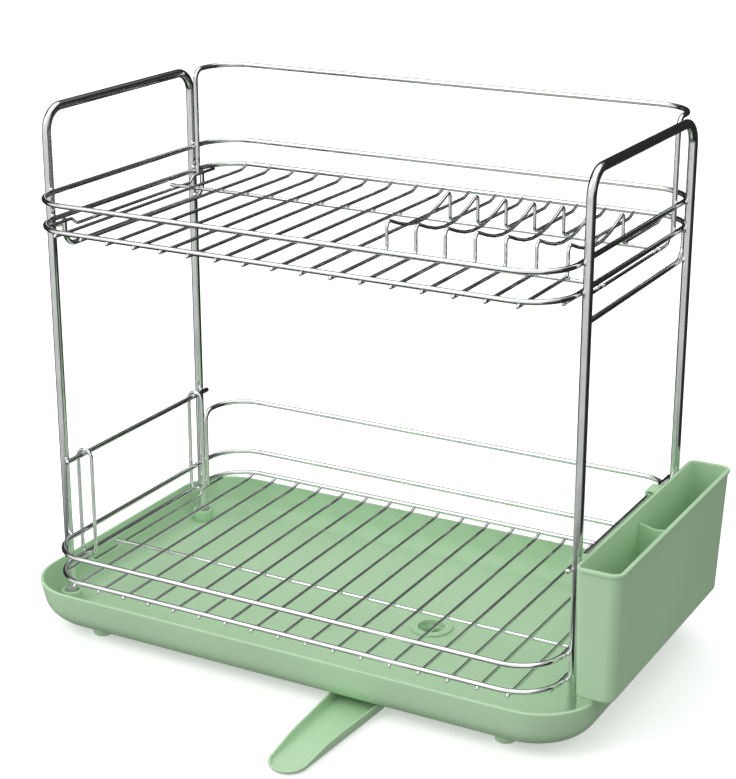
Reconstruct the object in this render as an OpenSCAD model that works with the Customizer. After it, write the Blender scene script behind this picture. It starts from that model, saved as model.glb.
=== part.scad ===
// Two-tier dish drying rack: wire baskets between two side frames, standing in a drip tray
// with a swivelling drain spout, and a cutlery holder hung on the right-hand side.
// Millimetres. X is the long direction, -Y is the front, +Z is up, Z = 0 is the counter.

/* [Baskets] */
// Length of a wire basket, between rim centres
basket_l = 430; // [380:1:500]
// Depth of a wire basket, between rim centres
basket_w = 268; // [240:1:300]
// Corner radius of the rims
rim_corner = 34; // [28:1:40]
// Height between the two rims of a basket
rim_gap = 20.5; // [16:0.5:30]
// Diameter of rim, rail and guard wire
rim_wire = 4; // [3.5:0.1:4.5]
// Diameter of the floor wires
grid_wire = 2.6; // [2.2:0.1:3]
// Diameter of the cross rods under the floor wires
cross_wire = 3; // [2.6:0.1:3.4]
// Number of spaces between floor wires
grid_spaces = 18; // [16:2:20]
// Height of the lower basket's bottom rim
lower_rim_z = 50.5; // [48:0.5:60]
// Height of the upper shelf's bottom rim
upper_rim_z = 335; // [300:1:360]
// Height of the lower back rail
lower_rail_z = 118.5; // [110:0.5:150]
// Height of the upper back rail
upper_rail_z = 420; // [400:1:440]

/* [Plate dividers] */
// First floor wire from the middle that is raised into a divider
divider_first = 2; // [1:1:4]
// Last floor wire from the middle that is raised into a divider
divider_last = 8; // [5:1:8]
// Height of the divider peaks above the bottom rim
divider_rise = 18.5; // [15:0.5:28]
// Front foot of a divider, distance forward of the middle
divider_front = 53; // [45:1:60]
// Rear foot of a divider, distance behind the middle
divider_rear = 49; // [44:1:56]

/* [Side frames] */
// Overall height of the side frames
frame_top = 421.5; // [400:0.5:460]
// Outer diameter of the frame tube
tube_d = 7; // [6:0.1:8]
// Distance between front and rear posts
post_pitch = 194; // [170:1:200]
// Bend radius at the top of a frame
frame_bend = 18; // [14:1:30]
// Height of the guard rods
guard_z = 135.5; // [125:0.5:150]
// Height of the rods that carry the upper shelf
shelf_rod_z = 311; // [285:1:320]

/* [Board holder] */
// Front loop, distance forward of the middle
loop_front = 78; // [60:1:84]
// Rear loop, distance behind the middle
loop_rear = 82; // [60:1:84]
// Clear width inside a loop
loop_clear = 10.2; // [9:0.2:12]

/* [Drip tray] */
// How far the tray reaches beyond the basket at each end
tray_over_l = 26.5; // [22.5:0.5:45]
// How far the tray reaches beyond the basket at the front and at the back
tray_over_w = 8; // [6:0.5:31]
// Height of the tray underside above the counter
tray_z = 9; // [9:0.5:14]
// Height of the tray wall
tray_h = 32; // [28:0.5:33]
// How far each wall leans in towards the bottom
tray_lean = 13; // [10:0.5:15]
// Thickness of the tray wall and floor
tray_wall = 2.5; // [2:0.1:3.2]

/* [Spout] */
// Reach of the spout from its pivot to its tip
spout_reach = 235; // [200:1:245]
// Outer width of the spout beside its pivot
spout_w = 42; // [38:1:44]
// Outer width of the spout at its tip
spout_tip_w = 30; // [26:1:34]
// Pivot position along the tray
spout_x = 60; // [40:1:70]
// Outer radius of the hub that turns in the tray
hub_r = 14; // [12:0.5:15]

/* [Cutlery holder] */
// Length of the holder at the top
holder_l = 232; // [200:1:240]
// Width of the holder at the top
holder_w = 33.5; // [30:0.5:50]
// Height of the top edge
holder_top = 145; // [143:0.5:155]
// Height of the holder body
holder_h = 102; // [80:1:102]
// Wall thickness
holder_wall = 2.2; // [1.8:0.1:3]

/* [Hidden] */
$fn = 48;
weld = 0.3;
kink_ball = 0.15;
kink_gap = 0.1;
rim_r = rim_wire / 2;
grid_r = grid_wire / 2;
cross_r = cross_wire / 2;
tube_r = tube_d / 2;
half_l = basket_l / 2;
half_w = basket_w / 2;
post_y = post_pitch / 2;
post_x = half_l + rim_r + 0.5 + tube_r;
pitch = 2 * (half_l - rim_r - grid_r - 0.2) / grid_spaces;
edge_index = grid_spaces / 2;
edge_x = edge_index * pitch;
// heights of the crossing layers, measured from the centre of the bottom rim
grid_drop = rim_r + grid_r - weld;
cross_drop = grid_drop + grid_r + cross_r - weld;
edge_drop = cross_drop + cross_r + grid_r - weld;
// places along a floor wire, from the middle of the basket
wire_kink = 13;
wire_end = [half_w - rim_r - 0.3, 0.2];
step_in = 78;
step_out = 84;
// plate divider
front_bend = 4;
rear_bend = 3;
peak_flat = 1.8;
hollow_r = 95;
hollow_step = 10;
hollow_depth = 11;
// rods that run inside the posts
inner_x = post_x - tube_r - rim_r + weld - 0.2;
rod_end = post_y + 5;
shelf_rod_front = post_y - 9;
shelf_rod_rear = post_y + 6;
rod_bend = 12;
pin_r = 1.6;
// plastic tray
tray_l = basket_l + 2 * tray_over_l;
tray_w = basket_w + 2 * tray_over_w;
corner_top = 47;
corner_mid = 45;
corner_low = 40;
mid_lean = 4;
mid_h = 9.5;
floor_z = tray_z + tray_wall;
seat_r = 9;
seat_top = tray_z + 13;
socket_depth = 3;
cap_r = 5.2;
cap_h = 6;
cap_floor = 2;
cap_z = seat_top - socket_depth + 0.3;
tube_z = cap_z + cap_floor;
foot_r = 8;
foot_x = tray_l / 2 - 63.5;
foot_y = tray_w / 2 - 28;
// spout
spout_gap = 0.7;
spout_floor = 1.6;
spout_side = 1.8;
spout_top = tray_z - 0.3;
spout_even = 120;
tip_slope_l = 45;
tip_slope_h = 5.8;
hub_wall = 3;
bore_gap = 0.05;
clip_h = 1.8;
clip_w = 3;
// cutlery holder
holder_x = post_x + tube_r + 0.6;
holder_mid = 5;
holder_z = holder_top - holder_h;
holder_floor = 2.2;
lean_out = 4;
lean_in = 1.5;
lean_end = 4;
lip_h = 3;
lip_out = 1.2;
hook_t = 1.8;
hook_w = 14;
hook_front = -82;
hook_rear = 65;
hook_play = 0.3;
slot_l = 16;
slot_w = 3;
// centre of the whole part, so that the origin is below its middle
shift_x = (holder_x + holder_w + lip_out - tray_l / 2) / 2;
shift_y = (tray_w / 2 - spout_reach) / 2;

steel = "silver";
plastic = "darkseagreen";

module place() {
    translate([-shift_x, -shift_y, 0]) children();
}

// direction from a to b, and the turn at b on the way from a to c
function heading(a, b) = atan2(b[1] - a[1], b[0] - a[0]);
function turn(a, b, c) = let (t = heading(b, c) - heading(a, b))
    t > 180 ? t - 360 : (t < -180 ? t + 360 : t);
// length of straight wire that the corner i takes from the piece beside it
function trim(p, r, i) = (i == 0 || i == len(p) - 1) ? 0
    : (r[i] == 0 ? kink_gap : r[i]);

// wire that lies in the XY plane: corner points p, and at each of them the radius r of a
// right-angled bend, or 0 for a slight kink, where a ball a hair wider than the wire fills the joint
module bent_wire(p, r, wire_r) {
    for (i = [0 : len(p) - 2]) {
        start = trim(p, r, i);
        end = trim(p, r, i + 1);
        translate([p[i][0], p[i][1], 0])
            rotate([0, 0, heading(p[i], p[i + 1])])
                translate([start, 0, 0])
                    rotate([0, 90, 0]) cylinder(r = wire_r, h = norm(p[i + 1] - p[i]) - start - end);
    }
    for (i = [1 : len(p) - 2]) {
        angle = turn(p[i - 1], p[i], p[i + 1]);
        side = angle > 0 ? 1 : -1;
        translate([p[i][0], p[i][1], 0])
            rotate([0, 0, heading(p[i - 1], p[i])])
                if (r[i] == 0)
                    rotate([0, 0, angle / 2 + 90]) sphere(r = wire_r + kink_ball);
                else
                    translate([-r[i], side * r[i], 0])
                        rotate([side > 0 ? 0 : 180, 0, 0])
                            rotate([0, 0, -90])
                                rotate_extrude(angle = 90) translate([r[i], 0]) circle(r = wire_r);
    }
}

// turns a flat wire so that its own x runs along Y and its own y runs up
module upright() {
    rotate([90, 0, 90]) children();
}

// closed loop with rounded corners, half sizes a and b, lying in the XY plane
module ring_wire(a, b, bend, wire_r) {
    for (s = [-1, 1]) {
        translate([bend - a, s * b, 0]) rotate([0, 90, 0]) cylinder(r = wire_r, h = 2 * (a - bend));
        translate([s * a, b - bend, 0]) rotate([90, 0, 0]) cylinder(r = wire_r, h = 2 * (b - bend));
    }
    for (q = [0 : 3]) {
        translate([(q == 0 || q == 3 ? 1 : -1) * (a - bend), (q < 2 ? 1 : -1) * (b - bend), 0])
            rotate([0, 0, q * 90])
                rotate_extrude(angle = 90) translate([bend, 0]) circle(r = wire_r);
    }
}

// ---------- wire baskets ----------
module rim(z) {
    translate([0, 0, z]) ring_wire(half_l, half_w, rim_corner, rim_r);
}

// floor wire: passes under the front rim and kinks up behind to meet the rear rim
module floor_wire(x, z) {
    points = [[-half_w - rim_r - 0.6, -grid_drop], [half_w - wire_kink, -grid_drop], wire_end];
    translate([x, 0, z]) upright() bent_wire(points, [0, 0, 0], grid_r);
}

// floor wire raised into a plate divider with two peaks and a rounded hollow between them
module divider_wire(x, z) {
    mid = (divider_rear - divider_front) / 2;
    reach = hollow_r / cos(hollow_step / 2);
    hollow = [for (a = [-1.5 : 1.5])
        [mid + reach * sin(a * hollow_step),
            divider_rise - hollow_depth + hollow_r - reach * cos(a * hollow_step)]];
    points = concat([
        [-half_w - rim_r - 0.6, -grid_drop],
        [-divider_front, -grid_drop],
        [-divider_front, divider_rise],
        [-divider_front + front_bend + peak_flat, divider_rise]
    ], hollow, [
        [divider_rear - rear_bend - peak_flat, divider_rise],
        [divider_rear, divider_rise],
        [divider_rear, -grid_drop],
        [half_w - wire_kink, -grid_drop],
        wire_end
    ]);
    bends = [0, front_bend, front_bend, 0, 0, 0, 0, 0, 0, rear_bend, front_bend, 0, 0];
    translate([x, 0, z]) upright() bent_wire(points, bends, grid_r);
}

// outermost floor wire: low between the corners, stepped up to the rim at both ends
module edge_wire(x, z) {
    tip = half_w - rim_corner + sqrt(pow(rim_corner, 2) - pow(edge_x - half_l + rim_corner, 2)) + 1;
    high = -grid_drop - 0.1;
    points = [[-tip, high], [-step_out, high], [-step_in, -edge_drop],
        [step_in, -edge_drop], [step_out, high], [tip, high]];
    translate([x, 0, z]) upright() bent_wire(points, [0, 0, 0, 0, 0, 0], grid_r);
}

module edge_wires(z) {
    edge_wire(edge_x, z);
    edge_wire(-edge_x, z);
}

module cross_rod(y, z) {
    translate([-half_l - 1, y, z - cross_drop]) rotate([0, 90, 0]) cylinder(r = cross_r, h = basket_l + 2);
}

// rail along the back: two legs inside the rims, bent back, then round the rear corners
module back_rail(z, rim_z) {
    leg_x = half_l - rim_wire + weld;
    leg_y = post_y - 6;
    leg_bend = 9;
    leg_low = rim_z - rim_r;
    side_y = leg_y + leg_bend;
    corner = rim_corner - rim_wire + weld;
    for (s = [-1, 1]) {
        translate([s * leg_x, leg_y, leg_low]) cylinder(r = rim_r, h = z - leg_bend - leg_low);
        translate([s * leg_x, leg_y + leg_bend, z - leg_bend])
            rotate([90, 0, 90])
                rotate([0, 0, 90])
                    rotate_extrude(angle = 90) translate([leg_bend, 0]) circle(r = rim_r);
        translate([s * leg_x, side_y, z])
            rotate([-90, 0, 0]) cylinder(r = rim_r, h = half_w - corner - side_y);
        translate([s * (leg_x - corner), half_w - corner, z])
            rotate([0, 0, s > 0 ? 0 : 90])
                rotate_extrude(angle = 90) translate([corner, 0]) circle(r = rim_r);
    }
    translate([corner - leg_x, half_w, z])
        rotate([0, 90, 0]) cylinder(r = rim_r, h = 2 * (leg_x - corner));
}

module lower_top_rim() { color(steel) place() rim(lower_rim_z + rim_gap); }
module lower_bottom_rim() { color(steel) place() rim(lower_rim_z); }
module lower_floor_wires() {
    color(steel) place()
        for (k = [1 - edge_index : edge_index - 1]) floor_wire(k * pitch, lower_rim_z);
}
module lower_edge_wires() { color(steel) place() edge_wires(lower_rim_z); }
module lower_cross_rod() { color(steel) place() cross_rod(-40, lower_rim_z); }
module lower_back_rail() { color(steel) place() back_rail(lower_rail_z, lower_rim_z); }

module upper_top_rim() { color(steel) place() rim(upper_rim_z + rim_gap); }
module upper_bottom_rim() { color(steel) place() rim(upper_rim_z); }
module upper_floor_wires() {
    color(steel) place()
        for (k = [1 - edge_index : edge_index - 1])
            if (k < divider_first || k > divider_last) floor_wire(k * pitch, upper_rim_z);
}
module plate_dividers() {
    color(steel) place()
        for (k = [divider_first : divider_last]) divider_wire(k * pitch, upper_rim_z);
}
module upper_edge_wires() { color(steel) place() edge_wires(upper_rim_z); }
module upper_front_cross_rod() { color(steel) place() cross_rod(-divider_front + 1, upper_rim_z); }
module upper_rear_cross_rod() { color(steel) place() cross_rod(divider_rear + 7, upper_rim_z); }
module upper_back_rail() { color(steel) place() back_rail(upper_rail_z, upper_rim_z); }

// ---------- side frames ----------
module side_frame(side) {
    top = frame_top - tube_r;
    points = [[-post_y, tube_z], [-post_y, top], [post_y, top], [post_y, tube_z]];
    translate([side * post_x, 0, 0]) upright() bent_wire(points, [0, frame_bend, frame_bend, 0], tube_r);
}

// rod inside the posts whose upturned ends carry the shelf
module shelf_rod(side) {
    tip = upper_rim_z - rim_r - 0.2;
    points = [[-shelf_rod_front, tip], [-shelf_rod_front, shelf_rod_z],
        [shelf_rod_rear, shelf_rod_z], [shelf_rod_rear, tip]];
    translate([side * inner_x, 0, 0]) upright() bent_wire(points, [0, rod_bend, rod_bend, 0], rim_r);
}

module guard_rod(side) {
    translate([side * inner_x, -rod_end, guard_z]) rotate([-90, 0, 0]) cylinder(r = rim_r, h = 2 * rod_end);
}

// short pins that join the lower basket and the front ends of the shelf rods to the posts
module frame_welds() {
    color(steel) place()
        for (sx = [-1, 1]) {
            for (sy = [-1, 1], z = [lower_rim_z, lower_rim_z + rim_gap])
                translate([sx * (half_l + 1), sy * post_y, z])
                    rotate([0, sx * 90, 0]) cylinder(r = pin_r, h = post_x - half_l - 2.5);
            translate([sx * inner_x, -shelf_rod_front, upper_rim_z - rim_r - 5])
                rotate([0, 0, atan2(shelf_rod_front - post_y, sx * (post_x - inner_x))])
                    rotate([0, 90, 0])
                        cylinder(r = pin_r, h = norm([post_x - inner_x, post_y - shelf_rod_front]) - 1.5);
        }
}

// closed loop round the guard rod and both lower rims
module board_loop(y) {
    bend = loop_clear / 2 + cross_r;
    high = guard_z + rim_r + cross_r - weld - bend;
    low = lower_rim_z - rim_r - cross_r + weld + bend;
    translate([-inner_x, y, (high + low) / 2])
        rotate([90, 0, 0]) {
            for (s = [-1, 1])
                translate([s * bend, (low - high) / 2, 0])
                    rotate([-90, 0, 0]) cylinder(r = cross_r, h = high - low);
            translate([0, (high - low) / 2, 0])
                rotate_extrude(angle = 180) translate([bend, 0]) circle(r = cross_r);
            translate([0, (low - high) / 2, 0])
                rotate([0, 0, 180]) rotate_extrude(angle = 180) translate([bend, 0]) circle(r = cross_r);
        }
}

module left_frame() { color(steel) place() side_frame(-1); }
module right_frame() { color(steel) place() side_frame(1); }
module left_shelf_rod() { color(steel) place() shelf_rod(-1); }
module right_shelf_rod() { color(steel) place() shelf_rod(1); }
module left_guard_rod() { color(steel) place() guard_rod(-1); }
module right_guard_rod() { color(steel) place() guard_rod(1); }
module front_board_loop() { color(steel) place() board_loop(-loop_front); }
module rear_board_loop() { color(steel) place() board_loop(loop_rear); }
module post_caps() {
    color("dimgray") place()
        for (sx = [-1, 1], sy = [-1, 1])
            translate([sx * post_x, sy * post_y, cap_z])
                difference() {
                    cylinder(r = cap_r, h = cap_h);
                    translate([0, 0, cap_floor]) cylinder(r = tube_r, h = cap_h);
                }
}

// ---------- drip tray ----------
// rounded plate whose hull with others makes the tray body: half sizes x and y, corner radius r
module tray_level(x, y, r, z) {
    for (sx = [-1, 1], sy = [-1, 1])
        translate([sx * (x - r), sy * (y - r), z]) cylinder(r = r, h = 0.02);
}

module tray_outside() {
    hull() {
        tray_level(tray_l / 2 - tray_lean, tray_w / 2 - tray_lean, corner_low, tray_z);
        tray_level(tray_l / 2 - mid_lean, tray_w / 2 - mid_lean, corner_mid, tray_z + mid_h);
        tray_level(tray_l / 2, tray_w / 2, corner_top, tray_z + tray_h - 0.02);
    }
}

module tray_inside() {
    w = tray_wall;
    hull() {
        tray_level(tray_l / 2 - tray_lean - w / 2, tray_w / 2 - tray_lean - w / 2,
            corner_low - w / 2, floor_z);
        tray_level(tray_l / 2 - mid_lean - w, tray_w / 2 - mid_lean - w, corner_mid - w, tray_z + mid_h);
        tray_level(tray_l / 2 - w, tray_w / 2 - w, corner_top - w, tray_z + tray_h + 1);
    }
}

module tray() {
    color(plastic) place()
        difference() {
            union() {
                difference() {
                    tray_outside();
                    tray_inside();
                }
                intersection() {
                    tray_outside();
                    for (sx = [-1, 1], sy = [-1, 1])
                        translate([sx * post_x, sy * post_y, tray_z])
                            cylinder(r = seat_r, h = seat_top - tray_z);
                }
            }
            for (sx = [-1, 1], sy = [-1, 1])
                translate([sx * post_x, sy * post_y, seat_top - socket_depth])
                    cylinder(r = cap_r + 0.4, h = socket_depth + 1);
            translate([spout_x, 0, tray_z - 1]) cylinder(r = hub_r + bore_gap, h = tray_wall + 2);
        }
}

module tray_feet() {
    color("dimgray") place()
        for (sx = [-1, 1], sy = [-1, 1])
            translate([sx * foot_x, sy * foot_y, 0]) cylinder(r = foot_r, h = tray_z);
}

// ---------- spout ----------
// plan of the spout seen from above, less the wall thickness t, raised to the height h
module spout_plan(t, h) {
    half = spout_w / 2 - t;
    tip = spout_tip_w / 2 - t;
    tip_y = spout_tip_w / 2 - spout_reach;
    cylinder(r = half, h = h);
    linear_extrude(height = h)
        polygon([[half, 0], [half, -spout_even], [tip, tip_y],
            [-tip, tip_y], [-half, -spout_even], [-half, 0]]);
    translate([0, tip_y, 0]) cylinder(r = tip, h = h);
}

// channel of the spout, round the hub and in through the gap in the hub's front
module spout_channel(depth) {
    difference() {
        translate([0, 0, spout_floor]) spout_plan(spout_side, depth);
        translate([0, 0, -1]) difference() {
            cylinder(r = hub_r, h = tray_z + tray_h);
            translate([-hub_r / 2, -hub_r - 1, 0]) cube([hub_r, hub_r + 1, depth]);
        }
    }
}

// wedge above the walls of the spout, deepest at the tip
module slope_cut() {
    rotate([90, 0, 90])
        linear_extrude(height = 2 * spout_w)
            polygon([[0, -tip_slope_h], [tip_slope_l, 0], [tip_slope_l, 1], [0, 1]]);
}

module spout_trough() {
    depth = spout_top - spout_gap;
    color(plastic) place()
        translate([spout_x, 0, spout_gap])
            difference() {
                union() {
                    spout_plan(0, depth);
                    cylinder(r = hub_r, h = floor_z - spout_gap + clip_h);
                }
                translate([0, 0, spout_floor]) cylinder(r = hub_r - hub_wall, h = tray_z + tray_h);
                spout_channel(depth);
                translate([-spout_w, -spout_reach, depth]) slope_cut();
            }
}

// ring that snaps on the hub above the tray floor
module spout_clip() {
    color(plastic) place()
        translate([spout_x, 0, floor_z + 0.1])
            difference() {
                cylinder(r = hub_r + clip_w, h = clip_h - 0.1);
                translate([0, 0, -1]) cylinder(r = hub_r, h = clip_h + 2);
            }
}

// ---------- cutlery holder ----------
// tapered box: x0 and x1 are its inner and outer faces, half is half its length
module holder_block(x0b, x1b, half_b, z0, x0t, x1t, half_t, z1, r_in, r_out) {
    hull() {
        for (sy = [-1, 1]) {
            translate([x0b + r_in, sy * (half_b - r_in), z0]) cylinder(r = r_in, h = 0.02, $fn = 48);
            translate([x1b - r_out, sy * (half_b - r_out), z0]) cylinder(r = r_out, h = 0.02, $fn = 48);
            translate([x0t + r_in, sy * (half_t - r_in), z1 - 0.02]) cylinder(r = r_in, h = 0.02, $fn = 48);
            translate([x1t - r_out, sy * (half_t - r_out), z1 - 0.02])
                cylinder(r = r_out, h = 0.02, $fn = 48);
        }
    }
}

module holder_cavity() {
    w = holder_wall;
    holder_block(holder_x + lean_in + w, holder_x + holder_w - lean_out - w,
        holder_l / 2 - lean_end - w, holder_z + holder_floor,
        holder_x + w, holder_x + holder_w - w, holder_l / 2 - w, holder_top + 1, 3, 6);
}

// narrow band round the top edge
module holder_lip() {
    half = holder_l / 2 + lip_out;
    out_r = 9;
    in_r = 5;
    hull() {
        for (sy = [-1, 1]) {
            translate([holder_x + in_r, sy * (half - in_r), holder_top - lip_h])
                cylinder(r = in_r, h = lip_h, $fn = 48);
            translate([holder_x + holder_w + lip_out - out_r, sy * (half - out_r), holder_top - lip_h])
                cylinder(r = out_r, h = lip_h, $fn = 48);
        }
    }
}

module cutlery_shell() {
    color(plastic) place() translate([0, holder_mid, 0])
        difference() {
            union() {
                holder_block(holder_x + lean_in, holder_x + holder_w - lean_out,
                    holder_l / 2 - lean_end, holder_z,
                    holder_x, holder_x + holder_w, holder_l / 2, holder_top, 5, 8);
                holder_lip();
            }
            holder_cavity();
            for (k = [-4 : 4])
                if (k != 0)
                    translate([holder_x + (holder_w - lean_out + lean_in) / 2 - slot_w / 2,
                        k * 24 - slot_l / 2, holder_z - 1])
                        cube([slot_w, slot_l, holder_floor + 2]);
        }
}

// wall between the two compartments, lower than the rim
module cutlery_partition() {
    color(plastic) place() translate([0, holder_mid, 0])
        intersection() {
            holder_cavity();
            translate([holder_x - 1, -1, holder_z]) cube([holder_w + 2, 2, holder_h - 10]);
        }
}

// hooks that drop over the right-hand guard rod
module cutlery_hooks() {
    groove = rim_r + hook_play;
    left = inner_x - groove - hook_t;
    low = guard_z - 4;
    high = guard_z + groove + hook_t;
    color(plastic) place()
        for (y = [hook_front, hook_rear])
            translate([0, y - hook_w / 2, 0])
                difference() {
                    translate([left, 0, low]) cube([holder_x + 0.6 - left, hook_w, high - low]);
                    translate([inner_x, -1, guard_z])
                        rotate([-90, 0, 0]) cylinder(r = groove, h = hook_w + 2);
                    translate([inner_x - groove, -1, low - 1])
                        cube([2 * groove, hook_w + 2, guard_z - low + 1]);
                    translate([inner_x + groove - 1, -1, low - 1])
                        cube([holder_x - hook_t - inner_x - groove + 1, hook_w + 2, guard_z - low + 1]);
                }
}

tray();
tray_feet();
spout_trough();
spout_clip();
left_frame();
right_frame();
post_caps();
frame_welds();
left_shelf_rod();
right_shelf_rod();
left_guard_rod();
right_guard_rod();
front_board_loop();
rear_board_loop();
lower_top_rim();
lower_bottom_rim();
lower_floor_wires();
lower_edge_wires();
lower_cross_rod();
lower_back_rail();
upper_top_rim();
upper_bottom_rim();
upper_floor_wires();
plate_dividers();
upper_edge_wires();
upper_front_cross_rod();
upper_rear_cross_rod();
upper_back_rail();
cutlery_shell();
cutlery_partition();
cutlery_hooks();
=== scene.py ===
import math

import bpy
import numpy as np
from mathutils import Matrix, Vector


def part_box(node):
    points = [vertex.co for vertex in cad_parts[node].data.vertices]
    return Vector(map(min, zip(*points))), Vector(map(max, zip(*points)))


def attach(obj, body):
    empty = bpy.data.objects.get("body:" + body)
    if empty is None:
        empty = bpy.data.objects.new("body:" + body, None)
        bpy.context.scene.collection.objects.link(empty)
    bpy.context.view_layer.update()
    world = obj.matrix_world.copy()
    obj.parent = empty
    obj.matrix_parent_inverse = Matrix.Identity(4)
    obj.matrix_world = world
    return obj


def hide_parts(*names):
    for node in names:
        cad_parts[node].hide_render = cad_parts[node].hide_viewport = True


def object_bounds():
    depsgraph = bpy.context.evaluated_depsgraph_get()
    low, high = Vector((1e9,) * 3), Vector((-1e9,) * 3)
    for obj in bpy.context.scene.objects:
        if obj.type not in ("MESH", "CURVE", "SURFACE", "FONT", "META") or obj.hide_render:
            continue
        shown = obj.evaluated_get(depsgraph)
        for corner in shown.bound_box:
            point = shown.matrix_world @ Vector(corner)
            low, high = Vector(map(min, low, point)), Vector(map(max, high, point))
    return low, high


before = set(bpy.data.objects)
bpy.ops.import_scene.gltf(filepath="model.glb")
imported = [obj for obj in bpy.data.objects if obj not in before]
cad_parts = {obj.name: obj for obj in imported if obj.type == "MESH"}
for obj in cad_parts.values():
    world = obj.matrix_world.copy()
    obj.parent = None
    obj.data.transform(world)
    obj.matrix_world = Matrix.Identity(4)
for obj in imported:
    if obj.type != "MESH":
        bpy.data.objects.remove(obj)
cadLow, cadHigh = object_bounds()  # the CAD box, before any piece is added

mm = 0.001
print("frame loaded:", len(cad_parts), "CAD nodes")


# ---- where things are, read from the CAD boxes ----
def boxOf(node):
    low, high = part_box(node)
    return np.array(low), np.array(high)


def middleOf(node):
    low, high = boxOf(node)
    return (low + high) / 2


basket = {
    "rimRadius": 2.0 * mm,      # rim, back rail and guard wire
    "gridRadius": 1.3 * mm,     # floor wires and plate dividers
    "crossRadius": 1.5 * mm,    # rods under the floor wires, and the board loops
    "corner": 34 * mm,          # bend of a rim at its corners
    "spaces": 18,               # gaps between floor wires
    "sink": 0.3 * mm,           # how far welded wires sink into each other
    "frontTip": 2.6 * mm,       # floor wire beyond the middle of the front rim
    "rearKink": 13 * mm,        # where a floor wire turns up to the rear rim
    "kinkBend": 6 * mm,         # bend radius of that turn
    "rearUp": 0.2 * mm,         # end of a floor wire above the middle of the rear rim
    "dividers": (2, 8),         # first and last floor wire, from the middle, that is raised
}
rimLow, rimHigh = boxOf("lower_bottom_rim")
rackMiddle = (rimLow + rimHigh) / 2
midX, midY = rackMiddle[0], rackMiddle[1]
halfL = (rimHigh[0] - rimLow[0]) / 2 - basket["rimRadius"]
halfW = (rimHigh[1] - rimLow[1]) / 2 - basket["rimRadius"]
pitch = 2 * (halfL - basket["rimRadius"] - basket["gridRadius"] - 0.2 * mm) / basket["spaces"]
gridDrop = basket["rimRadius"] + basket["gridRadius"] - basket["sink"]
rearEnd = halfW - basket["rimRadius"] - basket["sink"]  # where floor wires meet the rear rim
tiers = {
    name: {
        "low": middleOf(name + "_bottom_rim")[2],
        "high": middleOf(name + "_top_rim")[2],
        "rail": boxOf(name + "_back_rail")[1][2] - basket["rimRadius"],
    }
    for name in ("lower", "upper")
}


# ---- shapes ----
def unit(v):
    return v / np.linalg.norm(v)


# A bent wire's middle line: straight between its corners, with a circular arc of the given radius at each.
# Gives the points and the direction of travel at each point.
def bentLine(corners, radii, closed=False, step=9):
    p = np.array(corners, float)
    count = len(p)
    points, ways = [], []
    for i in range(count):
        ends = not closed and i in (0, count - 1)
        if ends:
            other = p[1] - p[0] if i == 0 else p[-1] - p[-2]
            points.append(p[i][None])
            ways.append(unit(other)[None])
            continue
        a = unit(p[i] - p[i - 1])
        b = unit(p[(i + 1) % count] - p[i])
        angle = math.acos(float(np.clip(a @ b, -1, 1)))
        inward = unit(b - a * (a @ b))
        start = p[i] - a * radii[i] * math.tan(angle / 2)
        t = np.linspace(0, angle, max(3, int(math.degrees(angle) / step) + 2))[:, None]
        points.append(start + inward * radii[i] * (1 - np.cos(t)) + a * radii[i] * np.sin(t))
        ways.append(a * np.cos(t) + inward * np.sin(t))
    points, ways = np.concatenate(points), np.concatenate(ways)
    before = np.roll(points, 1, axis=0) if closed else np.vstack([points[:1] + 1, points[:-1]])
    keep = np.linalg.norm(points - before, axis=1) > 1e-6
    return points[keep], ways[keep]


# Quads of a grid of rows and columns, each of which may close on itself.
def gridFaces(rows, columns, wrapRows, wrapColumns):
    r, c = np.meshgrid(
        np.arange(rows if wrapRows else rows - 1),
        np.arange(columns if wrapColumns else columns - 1), indexing="ij")
    nextR, nextC = (r + 1) % rows, (c + 1) % columns
    quads = [r * columns + c, r * columns + nextC, nextR * columns + nextC, nextR * columns + c]
    return np.stack(quads, -1).reshape(-1, 4)


# A round wire: a circle carried square to a line; open ends are rounded off to a point.
def tube(line, radius, across, sides=20, tip=0.55, closed=False):
    points, ways = line
    if closed:
        scale = np.ones(len(points))
    else:
        a = np.radians([80, 55, 30, 10])
        reach = radius * tip
        points = np.vstack([
            points[:1] + ways[:1] * reach * (1 - np.sin(a)[:, None]), points[:1] + ways[:1] * reach,
            points[1:-1],
            points[-1:] - ways[-1:] * reach,
            points[-1:] - ways[-1:] * reach * (1 - np.sin(a[::-1])[:, None])])
        ways = np.vstack([np.repeat(ways[:1], 5, 0), ways[1:-1], np.repeat(ways[-1:], 5, 0)])
        scale = np.concatenate([np.cos(a), np.ones(len(points) - 8), np.cos(a[::-1])])
    one = np.cross(np.array(across, float), ways)
    one /= np.linalg.norm(one, axis=1)[:, None]
    two = np.cross(ways, one)
    turn = np.linspace(0, 2 * np.pi, sides, endpoint=False)
    ring = one[:, None] * np.cos(turn)[None, :, None] + two[:, None] * np.sin(turn)[None, :, None]
    rings = points[:, None] + ring * (radius * scale)[:, None, None]
    return lofted(rings, closed)


# Rings of points joined into a closed skin. Open ends close on a point at the middle of the last ring.
def lofted(rings, closed=False):
    rows, columns = rings.shape[:2]
    verts = rings.reshape(-1, 3)
    quads = gridFaces(rows, columns, closed, True)
    if closed:
        return verts, quads, np.zeros((0, 3), int)
    verts = np.vstack([verts, rings[0].mean(0), rings[-1].mean(0)])
    j = np.arange(columns)
    k = (j + 1) % columns
    base = (rows - 1) * columns
    first = np.stack([np.full(columns, rows * columns), k, j], 1)
    last = np.stack([np.full(columns, rows * columns + 1), base + j, base + k], 1)
    return verts, quads, np.vstack([first, last])


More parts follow.
